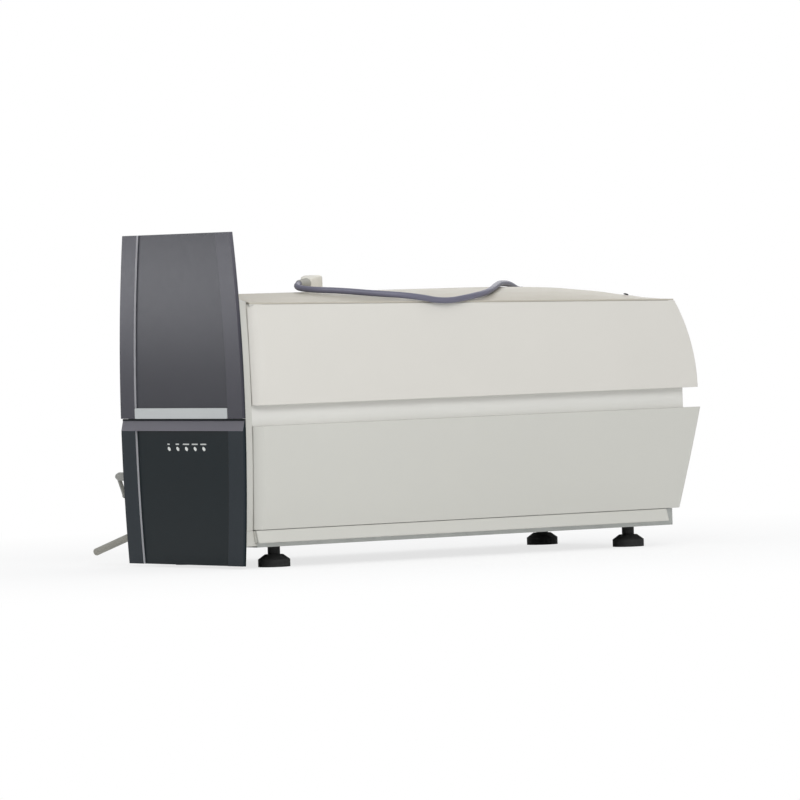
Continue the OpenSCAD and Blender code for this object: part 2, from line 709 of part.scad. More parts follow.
module vacuum_chamber() placed() color(steel) difference() {
    union() {
        block([-chamber_half, chamber_y0, chamber_z0], [chamber_half, chamber_y1, chamber_z1]);
        for (y = [chamber_y0 + 40 : 70 : chamber_y1 - 30])
            block([-chamber_half - 5, y, chamber_z0 + 10], [chamber_half + 5, y + 6, chamber_z1 - 14]);
        // posts that stand on the base's stiffeners
        for (x = [-stiffener_x, stiffener_x], y = [chamber_y0 + 4, chamber_y1 - 18])
            block([x - 7, y, stiffener_z1 + 0.4], [x + 7, y + 14, chamber_z0 + 1]);
    }
    block([-chamber_half + chamber_wall, chamber_y0 + chamber_wall, chamber_z0 + chamber_wall],
          [chamber_half - chamber_wall, chamber_y1 - chamber_wall, chamber_z1 + 1]);
    at_axis(chamber_y0 - 1) cylinder(r = 10, h = chamber_wall + 2);
    translate([0, turbo_y, chamber_z0 - 1]) cylinder(r = turbo_r - 12, h = chamber_wall + 2);
    seal_ring(3.5, 4, chamber_z1 - 3, chamber_z1 + 1);
}

module lid_seal() placed() color([0.1, 0.1, 0.1]) seal_ring(3.7, 3.6, chamber_z1 - 2.9, chamber_z1 + 0.3);

module chamber_lid() placed() color(steel) {
    block([-chamber_half, chamber_y0, chamber_z1 + 0.5], [chamber_half, chamber_y1, chamber_z1 + 9]);
    for (x = [-45, 0, 45])
        block([x - 4, chamber_y0 + 25, chamber_z1 + 8], [x + 4, chamber_y1 - 25, chamber_z1 + 15]);
}

rod_pitch = rod_r + 5.5;
guide_y0 = chamber_y0 + chamber_wall + 10;
first_y0 = guide_y0 + 74;
cell_y0 = first_y0 + quad_l + 14;
second_y0 = cell_y0 + 74;

module rod_set(y0, length, r, pitch, count) for (i = [0:count - 1]) {
    a = 360*(i + 0.5)/count;
    at_axis(y0, pitch*cos(a), pitch*sin(a)) cylinder(r = r, h = length);
}

module ion_guide() placed() color(steel) {
    rod_set(guide_y0, 60, 1.6, 8, 8);
}

module first_quadrupole() placed() color(steel) rod_set(first_y0, quad_l, rod_r, rod_pitch*1.15, 4);
module second_quadrupole() placed() color(steel) rod_set(second_y0, quad_l, rod_r, rod_pitch*1.15, 4);

module collision_cell() placed() color([0.65, 0.65, 0.6]) difference() {
    at_axis(cell_y0) cylinder(r = 26, h = 60);
    at_axis(cell_y0 + 4) cylinder(r = 20, h = 52);
    at_axis(cell_y0 - 1) cylinder(r = 4, h = 62);
    translate([0, cell_y0 + 30, ion_z]) cylinder(r = 3, h = 40);
}

module rod_holders() placed() color([0.93, 0.91, 0.86]) {
    for (y = [first_y0 + 6, first_y0 + quad_l - 16, second_y0 + 6, second_y0 + quad_l - 16]) difference() {
        at_axis(y) cylinder(r = 30, h = 10);
        at_axis(y - 1) cylinder(r = 7.5, h = 12);
        translate([0, -1, 0]) rod_set(y, 12, rod_r + 0.05, rod_pitch*1.15, 4);
    }
    for (y = [guide_y0 + 4, guide_y0 + 48]) difference() {
        at_axis(y) cylinder(r = 22, h = 6);
        at_axis(y - 1) cylinder(r = 5.6, h = 8);
        translate([0, -1, 0]) rod_set(y, 8, 1.65, 8, 8);
    }
}

module ion_detector() placed() color([0.55, 0.55, 0.5]) {
    y = second_y0 + quad_l + 12;
    difference() {
        block([-30, y, ion_z - 30], [30, y + 40, ion_z + 30]);
        block([-24, y + 4, ion_z - 24], [24, y + 41, ion_z + 24]);
        at_axis(y - 1) cylinder(r = 6, h = 8);
    }
    at_axis(y + 24, 0, 26) cylinder(r = 6, h = 12);
}

// ---------- Turbo pump ----------
pump_z1 = chamber_z0 - 0.5;
pump_z0 = pump_z1 - 150;

module turbo_pump() placed() color([0.62, 0.63, 0.64]) translate([0, turbo_y, pump_z0]) difference() {
    union() {
        cylinder(r = turbo_r - 8, h = 40);
        translate([0, 0, 36]) cylinder(r = turbo_r, h = 106);
        translate([0, 0, 138]) cylinder(r = turbo_r + 9, h = 12);
        for (z = [46:9:110]) translate([0, 0, z]) cylinder(r = turbo_r + 3, h = 3);
        rotate([90, 0, 0]) translate([0, 20, 40]) cylinder(r = 12.5, h = 40);
    }
    translate([0, 0, 44]) cylinder(r = turbo_r - 7, h = 120);
    translate([0, 0, 8]) cylinder(r = 6.05, h = 40);
}

module turbo_rotor() placed() color(steel) translate([0, turbo_y, pump_z0]) {
    translate([0, 0, 10]) cylinder(r = 6, h = 42);
    translate([0, 0, 50]) cylinder(r = 22, h = 84);
    for (k = [0:4]) translate([0, 0, 54 + k*16]) linear_extrude(6) for (a = [0:20:359])
        rotate(a + k*7) translate([20, -1.2]) square([turbo_r - 7 - 2 - 20, 2.4]);
}

// ---------- Electronics ----------
module sheet_box(low, high) difference() {
    block(low, high);
    block([low.x + 1.5, low.y + 1.5, low.z - 1], [high.x - 1.5, high.y - 1.5, high.z - 1.5]);
}

box_z0 = base_z1 + 0.4;
box_y0 = rear_y - 162;
box_y1 = rear_y - 40;
module radio_supply() placed() color(steel) {
    sheet_box([-142, box_y0, box_z0], [-20, box_y1, 388]);
    block([-141, box_y0 + 1, 196], [-21, box_y1 - 1, 198]);
    for (x = [-106, -56]) translate([x, box_y0 + 60, 197]) difference() {
        cylinder(r = 20, h = 110);
        translate([0, 0, 2]) cylinder(r = 17, h = 109);
    }
}

module power_supply() placed() color([0.66, 0.66, 0.64]) difference() {
    block([20, box_y0 - 10, box_z0], [142, box_y1, 225]);
    for (y = [box_y0 + 6:14:box_y1 - 16]) {
        block([139, y, 90], [143, y + 6, 200]);
        block([40, y, 221], [122, y + 6, 226]);
    }
}

board_x = -stiffener_x - 1.5;
module control_board() placed() color([0.16, 0.4, 0.25]) {
    block([board_x, 200, stiffener_z1 + 0.4], [board_x + 2, 600, 236]);
    for (y = [230:74:560], z = [90:52:200]) block([board_x - 6, y, z], [board_x + 0.2, y + 38, z + 26]);
    for (y = [250:74:560]) translate([board_x - 18, y, 222]) rotate([0, 90, 0]) cylinder(r = 7, h = 18.2);
}

// ---------- Left side ----------
side_y = 16.2;
band_x = -half_at(lever_z, frame_inset);

module lever_collar() placed() color([0.7, 0.7, 0.66]) difference() {
    translate([band_x - 9, side_y, lever_z]) rotate([0, 90, 0]) cylinder(r = 8, h = 8.5);
    translate([band_x - 10, side_y, lever_z]) rotate([0, 90, 0]) cylinder(r = 4 + pin_fit, h = 12);
}

lever_lean = 19;
lever_x = band_x - 54;
module vent_lever() placed() color([0.6, 0.6, 0.57]) {
    translate([lever_x, side_y, lever_z]) rotate([0, 90, 0]) cylinder(r = 4, h = 53.6);
    translate([lever_x + 4, side_y, lever_z]) rotate([0, 90, 0]) cylinder(r = 7, h = 33);
    translate([lever_x, side_y, lever_z]) rotate([lever_lean, 0, 0]) {
        sphere(r = 5.5);
        translate([0, 0, -34]) cylinder(r = 3.5, h = 34);
        translate([0, 0, -34]) sphere(r = 4.2);
    }
}

drain_z0 = 53.5;
drain_x0 = -half_at(drain_z0, frame_inset);
module drain_fitting() placed() color([0.72, 0.71, 0.66]) difference() {
    translate([drain_x0 - 12, side_y, drain_z0]) rotate([0, 90, 0]) cylinder(r = 9, h = 11);
    drain_axis() translate([0, 0, -30]) cylinder(r = drain_r + 0.1, h = 60);
}

module drain_axis() translate([drain_x0 - 6, side_y, drain_z0]) rotate([0, -90 - drain_fall, 0]) children();
drain_l = (drain_x0 - 6 - drain_end_x)/cos(drain_fall);
module drain_pipe() placed() color([0.66, 0.66, 0.6]) drain_axis() difference() {
    translate([0, 0, -2]) cylinder(r = drain_r, h = drain_l + 2 - drain_r*tan(drain_fall));
    translate([0, 0, 4]) cylinder(r = drain_r - 1.8, h = drain_l + 8);
}

// ---------- Screws ----------
module cover_screws() placed() color(steel) {
    for (x = [-150, -52, 52, 150], z = [48, rear_z1 - 10]) at_rear(x, z, 0.1) difference() {
        cylinder(r = 4, h = 2.2);
        translate([0, 0, 1]) cylinder(r = 1.7, h = 2, $fn = 6);
    }
}

// ---------- Mains cord ----------
relief_l = 30;
plug_a = 124;
cord_route = [
    [-150, 900, 112], [-150, 914, 111], [-151, 928, 106], [-154, 940, 96], [-160, 948, 82],
    [-169, 951, 67], [-181, 949, 53], [-195, 942, 42], [-208, 929, 35], [-217, 912, 32.5],
    [-222, 892, 34], [-223, 873, 40], [-221, 856, 51], [-218, 842, 68], [-215, 831, 90],
    [-212, 822, 120], [-210, 815, 160], [-208, 809, 220], [-206, 806, 280], [-204, 803, 330],
    [-202, 802, 370], [-198, 801, 400.2], [-189, 799, 418.2], [-174, 794, 428.2], [-155, 785, 431.2],
    [-132, 766, 431.2], [-104, 739, 433.2], [-72, 709, 437.7], [-35, 675, 441.7], [10, 634, 443.2],
    [55, 594, 442.7], [95, 560, 439.7], [130, 527, 434.2], [155, 497, 429.3], [170, 468, 425.6],
    [179, 440, 422.2], [182, 412, 419.2], [182, 384, 420], [178, 354, 425.4], [169, 324, 429.8],
    [155, 297, 432.7], [141, 272, 435.7], [127, 249, 438.7], [114, 230, 440.7], [102, 212, 442.2],
    [88, 200, 443.7], [68, 194, 446.2], [50, 199, 449.7], [36, 212, 453.2]
];

// A tube of flat-sided rings swept along a route
tube_n = 10;
module swept_tube(p, r) {
    up = route_frames(p);
    pts = [for (i = [0:len(p) - 1], k = [0:tube_n - 1])
        p[i] + r*(cos(360*k/tube_n)*up[i] + sin(360*k/tube_n)*cross(tangent(p, i), up[i]))];
    m = len(p);
    polyhedron(pts, concat(
        [[for (k = [0:tube_n - 1]) k]],
        [for (i = [0:m - 2], k = [0:tube_n - 1]) each [
            [i*tube_n + k, (i + 1)*tube_n + k, i*tube_n + (k + 1)%tube_n],
            [i*tube_n + (k + 1)%tube_n, (i + 1)*tube_n + k, (i + 1)*tube_n + (k + 1)%tube_n]]],
        [[for (k = [tube_n - 1:-1:0]) (m - 1)*tube_n + k]]
    ));
}

function tangent(p, i) = let(d = p[min(i + 1, len(p) - 1)] - p[max(i - 1, 0)]) d/norm(d);
function flatten_to(v, t) = let(w = v - (v*t)*t) w/norm(w);
// Each ring's first direction is the last one's, turned as little as the bend needs
function route_frames(p) = [for (i = 0, v = flatten_to([0.2, 0.1, 1], tangent(p, 0)); i < len(p);
    i = i + 1, v = i < len(p) ? flatten_to(v, tangent(p, i)) : v) v];

module cord_tube() placed() color([0.34, 0.33, 0.4]) swept_tube(cord_route, cord_r);

module at_plug() translate(cord_route[len(cord_route) - 1]) rotate([0, 0, plug_a])
    rotate([0, 90, 0]) rotate([0, 0, 90]) children();

module strain_relief() placed() color([0.66, 0.65, 0.62]) at_plug()
    rotate_extrude() polygon([[0, 0], [cord_r + 1.2, 0], [cord_r + 2, 4], [9, relief_l], [0, relief_l]]);

module mains_plug() placed() color([0.9, 0.89, 0.84]) at_plug() translate([0, 0, relief_l]) hull() {
    translate([0, 0, 0.02]) linear_extrude(1) square([22, 18], center = true);
    translate([0, 0, 10]) linear_extrude(20) square([34, 27], center = true);
}

module plug_pins() placed() color([0.85, 0.8, 0.6]) at_plug() translate([0, 0, relief_l + 30]) {
    for (s = [-1, 1]) translate([s*7, 5, 8.5]) cube([2, 6.5, 17], center = true);
    translate([0, -6, 9.5]) cube([6, 2, 19], center = true);
}

base_frame();
feet();
front_frame();
bay_liner();
upper_door();
door_handle();
hinge_pins();
lower_front_cover();
status_lenses();
indicator_board();
right_upper_cover();
left_upper_cover();
right_lower_cover();
left_lower_cover();
right_skirt();
left_skirt();
waist_rails();
top_cover();
cover_screws();
rear_panel();
fan_frames();
fan_rotor_right();
fan_rotor_left();
fan_guards();
vacuum_port();
gas_fittings();
signal_sockets();
switch_frame();
power_rocker();
cable_gland();
bulkhead();
source_housing();
source_window();
source_latch();
spray_probe();
probe_knob();
desolvation_block();
vacuum_chamber();
chamber_lid();
lid_seal();
ion_guide();
first_quadrupole();
collision_cell();
second_quadrupole();
rod_holders();
ion_detector();
turbo_pump();
turbo_rotor();
radio_supply();
power_supply();
control_board();
lever_collar();
vent_lever();
drain_fitting();
drain_pipe();
cord_tube();
strain_relief();
mains_plug();
plug_pins();
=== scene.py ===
import math

import bmesh
import bpy
from mathutils import Matrix, Vector


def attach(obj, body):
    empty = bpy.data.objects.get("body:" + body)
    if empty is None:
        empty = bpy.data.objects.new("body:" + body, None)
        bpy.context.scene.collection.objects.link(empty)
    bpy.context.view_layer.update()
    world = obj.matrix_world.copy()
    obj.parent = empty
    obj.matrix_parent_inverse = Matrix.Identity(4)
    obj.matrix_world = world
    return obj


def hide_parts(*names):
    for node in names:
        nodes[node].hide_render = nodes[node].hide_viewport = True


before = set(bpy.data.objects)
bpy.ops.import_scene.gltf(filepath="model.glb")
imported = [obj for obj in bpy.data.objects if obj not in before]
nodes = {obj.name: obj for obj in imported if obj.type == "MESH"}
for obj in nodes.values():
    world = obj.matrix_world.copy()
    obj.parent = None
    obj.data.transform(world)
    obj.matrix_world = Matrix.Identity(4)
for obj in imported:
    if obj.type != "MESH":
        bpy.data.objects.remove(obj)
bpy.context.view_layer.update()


# The row frame's origin in part.scad's own millimetres
ORIGIN_X, ORIGIN_Y = -59, 452


def at(x, y, z):
    """A point given in part.scad's own millimetres, in the row frame in metres."""
    return Vector((x - ORIGIN_X, y - ORIGIN_Y, z)) / 1000


# ---------- Camera ----------
# Fitted to corner points of the photograph
FOCAL_PIXELS, PHOTO_PIXELS, SENSOR_MM = 7388, 800, 36
EYE = at(10121, -6333, 470)
yaw, pitch, roll = (math.radians(a) for a in (-56.262, -1.005, -1.792))
forward = Vector((math.sin(yaw) * math.cos(pitch), math.cos(yaw) * math.cos(pitch), math.sin(pitch)))
right = forward.cross(Vector((0, 0, 1))).normalized()
up = right.cross(forward)
cam_x = math.cos(roll) * right + math.sin(roll) * up
cam_y = -math.sin(roll) * right + math.cos(roll) * up
camera = bpy.data.objects.new("camera", bpy.data.cameras.new("camera"))
bpy.context.scene.collection.objects.link(camera)
camera.data.sensor_width = SENSOR_MM
camera.data.lens = FOCAL_PIXELS / PHOTO_PIXELS * SENSOR_MM
camera.data.clip_end = 100
turn = Matrix((cam_x, cam_y, -forward)).transposed().to_4x4()
camera.matrix_world = Matrix.Translation(EYE) @ turn
bpy.context.scene.camera = camera
bpy.context.scene.view_settings.view_transform = "Standard"


# ---------- Shader helpers ----------
def linear(rgb):
    """An sRGB colour of 0 to 255 as Blender's linear values."""
    return [(c / 255 / 12.92) if c <= 10 else ((c / 255 + 0.055) / 1.055) ** 2.4 for c in rgb]


def add_node(tree, kind, **values):
    """A new node, with its sockets or properties set by name."""
    n = tree.nodes.new(kind)
    for key, value in values.items():
        if key in n.inputs:
            n.inputs[key].default_value = value
        else:
            setattr(n, key, value)
    return n


def ramp(tree, value, low, high, start=0.0, end=1.0):
    """The socket of a value carried from low..high to start..end, and held at both ends."""
    n = add_node(tree, "ShaderNodeMapRange")
    for key, number in (("From Min", low), ("From Max", high), ("To Min", start), ("To Max", end)):
        n.inputs[key].default_value = number
    tree.links.new(value, n.inputs["Value"])
    return n.outputs[0]


def paint_over(tree, mask, colour, rgb):
    """The socket of a colour with another laid over it where the mask is 1."""
    n = add_node(tree, "ShaderNodeMix", data_type="RGBA")
    n.inputs[7].default_value = linear(rgb) + [1]
    tree.links.new(mask, n.inputs[0])
    tree.links.new(colour, n.inputs[6])
    return n.outputs[2]


# ---------- Materials ----------
# A front cover's centre panel and raised strips, by depth in part.scad's millimetres
PANEL_Y, STRIP_Y = 3.2, 2.6
# The bevel, told by its upward normal, gets painted light; the step, told by its sideways normal and its place
# left of the middle, gets a painted highlight
BEVEL_UP = (0.06, 0.18)
STEP_SIDEWAYS = (0.5, 0.8)
STEP_LEFT_OF = (-0.04, -0.06)
BEVEL_PAINTED_LIGHT = (104, 102, 110)
STEP_PAINTED_HIGHLIGHT = (190, 190, 194)


def material(name, rgb, rough=0.5, metal=0.0, bump=0.1, grain=900, tint=0.03, vary=0.05,
             edge=0.0008, stretch=(1, 1, 1), spec=0.5, smudge=5.0, glass=0.0, strips=None):
    """A paint, plastic or metal with its own grain, slow colour drift, uneven gloss and softened edges.

    strips is the lighter colour of a front cover's raised strips, which stand in front of its centre panel.
    A cover with strips also has painted light on its upward-facing bevel and a painted highlight on the step
    beside its left strip.
    """
    m = bpy.data.materials.new(name)
    m.use_nodes = True
    tree = m.node_tree
    shader = tree.nodes["Principled BSDF"]
    shader.inputs["Metallic"].default_value = metal
    shader.inputs["Specular IOR Level"].default_value = spec
    shader.inputs["Transmission Weight"].default_value = glass

    place = add_node(tree, "ShaderNodeTexCoord")
    mapping = add_node(tree, "ShaderNodeMapping")
    mapping.inputs["Scale"].default_value = stretch
    tree.links.new(place.outputs["Object"], mapping.inputs["Vector"])

    fine = add_node(tree, "ShaderNodeTexNoise", Scale=grain, Detail=3.0, Roughness=0.6)
    slow = add_node(tree, "ShaderNodeTexNoise", Scale=smudge, Detail=4.0, Roughness=0.55)
    mid = add_node(tree, "ShaderNodeTexNoise", Scale=smudge * 9, Detail=5.0, Roughness=0.7)
    tree.links.new(mapping.outputs[0], fine.inputs["Vector"])
    tree.links.new(place.outputs["Object"], slow.inputs["Vector"])
    tree.links.new(place.outputs["Object"], mid.inputs["Vector"])

    base = linear(rgb)
    drift = add_node(tree, "ShaderNodeMix", data_type="RGBA")
    drift.inputs[6].default_value = [c * (1 - tint) for c in base] + [1]
    drift.inputs[7].default_value = [min(1, c * (1 + tint)) for c in base] + [1]
    tree.links.new(slow.outputs["Fac"], drift.inputs[0])
    colour = drift.outputs[2]
    if strips:
        spot = add_node(tree, "ShaderNodeSeparateXYZ")
        tree.links.new(place.outputs["Object"], spot.inputs[0])
        facing = add_node(tree, "ShaderNodeSeparateXYZ")
        tree.links.new(place.outputs["Normal"], facing.inputs[0])
        raised = ramp(tree, spot.outputs["Y"], at(0, PANEL_Y, 0).y, at(0, STRIP_Y, 0).y)
        step = add_node(tree, "ShaderNodeMath", operation="MULTIPLY")
        tree.links.new(ramp(tree, facing.outputs["X"], *STEP_SIDEWAYS), step.inputs[0])
        tree.links.new(ramp(tree, spot.outputs["X"], *STEP_LEFT_OF), step.inputs[1])
        colour = paint_over(tree, raised, colour, strips)
        # Painted light: the upward-facing bevel is made paler
        colour = paint_over(tree, ramp(tree, facing.outputs["Z"], *BEVEL_UP), colour, BEVEL_PAINTED_LIGHT)
        # Painted highlight on the step beside the left strip
        colour = paint_over(tree, step.outputs[0], colour, STEP_PAINTED_HIGHLIGHT)
    tree.links.new(colour, shader.inputs["Base Color"])

    gloss = ramp(tree, mid.outputs["Fac"], 0.3, 0.7, max(0.02, rough - vary), min(1, rough + vary))
    tree.links.new(gloss, shader.inputs["Roughness"])

    relief = add_node(tree, "ShaderNodeBump", Strength=bump, Distance=0.0004)
    tree.links.new(fine.outputs["Fac"], relief.inputs["Height"])
    if edge:
        soft = add_node(tree, "ShaderNodeBevel", samples=4)
        soft.inputs["Radius"].default_value = edge
        tree.links.new(soft.outputs[0], relief.inputs["Normal"])
    tree.links.new(relief.outputs[0], shader.inputs["Normal"])
    return m


upper_dark = material("door_coat", (47, 47, 55), rough=0.22, bump=0.2, grain=1500, tint=0.06, vary=0.02,
                      edge=0.0005, spec=0.45, strips=(61, 60, 69))
# A darker copy of the door's paint for the lower front cover, strips included: painted shade
lower_dark_painted_shade = material("lower_coat", (6, 22, 27), rough=0.25, bump=0.2, grain=1500, tint=0.08, vary=0.02,
                      edge=0.0005, spec=0.18, strips=(36, 44, 50))
white_coat = material("white_coat", (216, 213, 206), rough=0.48, bump=0.12, grain=700, tint=0.025, vary=0.06,
                      edge=0.0014)
# A darker copy of the white coat for the lower covers and skirts: painted shade
lower_white_painted_shade = material("lower_white_coat", (204, 203, 196), rough=0.48, bump=0.12, grain=700, tint=0.025,
                       edge=0.0014)
roof_coat = material("roof_coat", (190, 184, 171), rough=0.5, bump=0.12, grain=700, tint=0.03, edge=0)
rail_coat = material("rail_coat", (222, 221, 216), rough=0.5, bump=0.12, grain=700, tint=0.03)
inner_white = material("inner_white_coat", (203, 202, 195), rough=0.5, bump=0.12, grain=700, tint=0.03)
rear_coat = material("rear_coat", (205, 203, 198), rough=0.5, bump=0.2, grain=900, tint=0.03)
grey_coat = material("grey_coat", (158, 159, 154), rough=0.5, bump=0.2, grain=1000, tint=0.04)
bar_metal = material("bar_metal", (205, 208, 207), rough=0.32, metal=0.7, bump=0.15, grain=600,
                     stretch=(0.05, 1, 1), tint=0.03, edge=0.0006)
steel = material("steel", (176, 178, 180), rough=0.3, metal=1.0, bump=0.2, grain=1200, stretch=(1, 0.06, 1),
                 tint=0.06, vary=0.1, edge=0.0004)
zinc = material("zinc", (188, 190, 186), rough=0.36, metal=0.9, bump=0.15, grain=60, tint=0.14, smudge=30,
                edge=0.0006)
alloy = material("alloy", (186, 188, 190), rough=0.34, metal=1.0, bump=0.25, grain=1500, stretch=(1, 1, 0.1),
                 tint=0.05, vary=0.08)
cast_alloy = material("cast_alloy", (168, 170, 172), rough=0.5, metal=0.9, bump=0.5, grain=900, tint=0.07)
black = material("black_plastic", (38, 38, 40), rough=0.5, bump=0.3, grain=1800, tint=0.08, edge=0.0005)
rubber = material("foot_rubber", (40, 40, 40), rough=0.8, bump=0.4, grain=1200, tint=0.1)
seal = material("seal_rubber", (26, 26, 28), rough=0.7, bump=0.3, grain=1500, tint=0.1, edge=0.0002)
brass = material("brass", (206, 178, 112), rough=0.28, metal=1.0, bump=0.15, grain=900, tint=0.06, edge=0.0003)
ceramic = material("ceramic", (234, 230, 220), rough=0.3, bump=0.08, grain=900, tint=0.02, edge=0.0003)
lens = material("lens", (238, 240, 236), rough=0.25, bump=0.05, grain=900, tint=0.02, edge=0.0003)
board = material("board", (38, 92, 60), rough=0.4, bump=0.5, grain=300, tint=0.2, smudge=60, edge=0.0003)
glass = material("window_glass", (236, 244, 244), rough=0.03, bump=0.02, grain=200, tint=0.01, vary=0.01,
                 edge=0, glass=1.0)
cord_skin = material("cord_skin", (104, 103, 120), rough=0.42, bump=0.25, grain=1400, tint=0.12, vary=0.08,
                     smudge=25, edge=0)
relief_grey = material("relief_grey", (168, 166, 158), rough=0.5, bump=0.25, grain=1200, tint=0.06, edge=0.0004)
cream = material("plug_cream", (226, 222, 211), rough=0.35, bump=0.15, grain=1200, tint=0.04, edge=0.0008)
pipe = material("pipe_grey", (150, 148, 138), rough=0.38, bump=0.15, grain=700, tint=0.08, smudge=20,
                edge=0.0003)
lever_grey = material("lever_grey", (150, 150, 144), rough=0.4, bump=0.2, grain=1100, tint=0.05, edge=0.0005)

FINISH = {
    zinc: ["base_frame", "radio_supply", "power_supply"],
    rubber: ["feet"],
    grey_coat: ["bay_liner"],
    inner_white: ["front_frame"],
    upper_dark: ["upper_door"],
    lower_dark_painted_shade: ["lower_front_cover"],
    bar_metal: ["door_handle"],
    steel: ["hinge_pins", "cover_screws", "fan_guards", "spray_probe", "desolvation_block", "ion_guide",
            "first_quadrupole", "second_quadrupole", "ion_detector"],
    lens: ["status_lenses"],
    board: ["indicator_board", "control_board"],
    white_coat: ["right_upper_cover", "left_upper_cover"],
    lower_white_painted_shade: ["right_lower_cover", "left_lower_cover", "right_skirt", "left_skirt"],
    rail_coat: ["waist_rails"],
    roof_coat: ["top_cover"],
    rear_coat: ["rear_panel"],
    black: ["fan_frames", "fan_rotor_right", "fan_rotor_left", "signal_sockets", "switch_frame", "power_rocker",
            "cable_gland", "source_latch", "probe_knob"],
    alloy: ["vacuum_port", "bulkhead", "source_housing", "vacuum_chamber", "chamber_lid", "collision_cell",
            "turbo_rotor"],
    cast_alloy: ["turbo_pump"],
    brass: ["gas_fittings", "plug_pins"],
    glass: ["source_window"],
    seal: ["lid_seal"],
    ceramic: ["rod_holders"],
    lever_grey: ["lever_collar", "vent_lever", "drain_fitting"],
    pipe: ["drain_pipe"],
    cord_skin: ["cord_tube"],
    relief_grey: ["strain_relief"],
    cream: ["mains_plug"],
}
for finish, names in FINISH.items():
    for name in names:
        mesh = nodes[name].data
        mesh.materials.clear()
        mesh.materials.append(finish)


# ---------- Mesh helpers ----------
def piece(name, mesh_or_curve, body, finish):
    """An object with one material, on a body of the frame."""
    mesh_or_curve.materials.append(finish)
    obj = bpy.data.objects.new(name, mesh_or_curve)
    bpy.context.scene.collection.objects.link(obj)
    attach(obj, body)
    return obj


def from_bmesh(name, bm, smooth=True):
    """A mesh with its normals outward, from a bmesh that is then freed."""
    bmesh.ops.recalc_face_normals(bm, faces=bm.faces)
    mesh = bpy.data.meshes.new(name)
    bm.to_mesh(mesh)
    bm.free()
    for face in mesh.polygons:
        face.use_smooth = smooth
    return mesh


def axes(start, along, side=Vector((0, 0, 1))):
    """A matrix whose Z runs along a direction from a point."""
    z = along.normalized()
    x = (side - side.dot(z) * z).normalized()
    y = z.cross(x)
    return Matrix.Translation(start) @ Matrix((x, y, z)).transposed().to_4x4()


def rings(bm, sections, matrix, cap=True):
    """Skins a stack of closed sections, each a list of points."""
    rows = [[bm.verts.new(matrix @ Vector(p)) for p in section] for section in sections]
    n = len(rows[0])
    for a, b in zip(rows, rows[1:]):
        for k in range(n):
            bm.faces.new((a[k], a[(k + 1) % n], b[(k + 1) % n], b[k]))
    if cap:
        bm.faces.new(rows[0][::-1])
        bm.faces.new(rows[-1])


def round_section(r, z, n=24):
    """A circle of points at a height."""
    return [(r * math.cos(2 * math.pi * k / n), r * math.sin(2 * math.pi * k / n), z) for k in range(n)]


def oval_section(a, b, z, power=4.0, n=32):
    """A rounded rectangle a by b (half sizes), in the superellipse's form."""
    out = []
    for k in range(n):
        t = 2 * math.pi * k / n
        c, s = math.cos(t), math.sin(t)
        out.append((a * math.copysign(abs(c) ** (2 / power), c),
                    b * math.copysign(abs(s) ** (2 / power), s), z))
    return out


# ---------- Mains cord ----------
# The route's points are part.scad's own, in its millimetres.
ROUTE = [
    (-150, 900, 112), (-150, 914, 111), (-151, 928, 106), (-154, 940, 96), (-160, 948, 82),
    (-169, 951, 67), (-181, 949, 53), (-195, 942, 42), (-208, 929, 35), (-217, 912, 32.5),
    (-222, 892, 34), (-223, 873, 40), (-221, 856, 51), (-218, 842, 68), (-215, 831, 90), (-212, 822, 120),
    (-210, 815, 160), (-208, 809, 220), (-206, 806, 280), (-204, 803, 330), (-202, 802, 370),
    (-198, 801, 400.2), (-189, 799, 418.2), (-174, 794, 428.2), (-155, 785, 431.2), (-132, 766, 431.2),
    (-104, 739, 433.2), (-72, 709, 437.7), (-35, 675, 441.7), (10, 634, 443.2), (55, 594, 442.7),
    (95, 560, 439.7), (130, 527, 434.2), (155, 497, 429.3), (170, 468, 425.6), (179, 440, 422.2),
    (182, 412, 419.2), (182, 384, 420), (178, 354, 425.4), (169, 324, 429.8), (155, 297, 432.7),
    (141, 272, 435.7), (127, 249, 438.7), (114, 230, 440.7), (102, 212, 442.2), (88, 200, 443.7),
    (68, 194, 446.2), (50, 199, 449.7), (36, 212, 453.2)
]


def smooth(points, steps):
    """A Catmull-Rom line through the points."""
    out = []
    for i in range(len(points) - 1):
        a, b = points[max(i - 1, 0)], points[i]
        c, d = points[i + 1], points[min(i + 2, len(points) - 1)]
        for k in range(steps):
            t = k / steps
            out.append(0.5 * ((2 * b) + (c - a) * t + (2 * a - 5 * b + 4 * c - d) * t * t
                              + (3 * b - a - 3 * c + d) * t ** 3))
    return out + [points[-1]]


CORD_RADIUS = 0.005
STEPS_A_POINT = 4

line = smooth([at(*p) for p in ROUTE], STEPS_A_POINT)
curve = bpy.data.curves.new("mains_cord", "CURVE")
curve.dimensions = "3D"
curve.bevel_depth = CORD_RADIUS
curve.bevel_resolution = 5
curve.use_fill_caps = True
spline = curve.splines.new("POLY")
spline.points.add(len(line) - 1)
for point, where in zip(spline.points, line):
    point.co = (*where, 1)
spline.use_smooth = True
cord = piece("mains_cord", curve, "root", cord_skin)
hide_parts("cord_tube")

# Plug end, in metres: a ribbed relief that widens to the plug, then a squarish body with a waist for
# the fingers
PLUG_HEADING = math.radians(124)
RELIEF_STEPS, RELIEF_STEP = 30, 0.001
RELIEF_RADIUS, RELIEF_TAPER, RIB_DEPTH = 0.0062, 0.0028, 0.0011
PLUG_STEPS = 24
PLUG_START = PLUG_LENGTH = 0.030
PLUG_HALF = (0.0078, 0.0092)
PLUG_FLARE = (0.0057, 0.0078)
WAIST_DEPTH, WAIST_AT, WAIST_REACH = 0.0012, 0.62, 0.12
FACE_FROM, FACE_INSET = 0.95, 0.0008

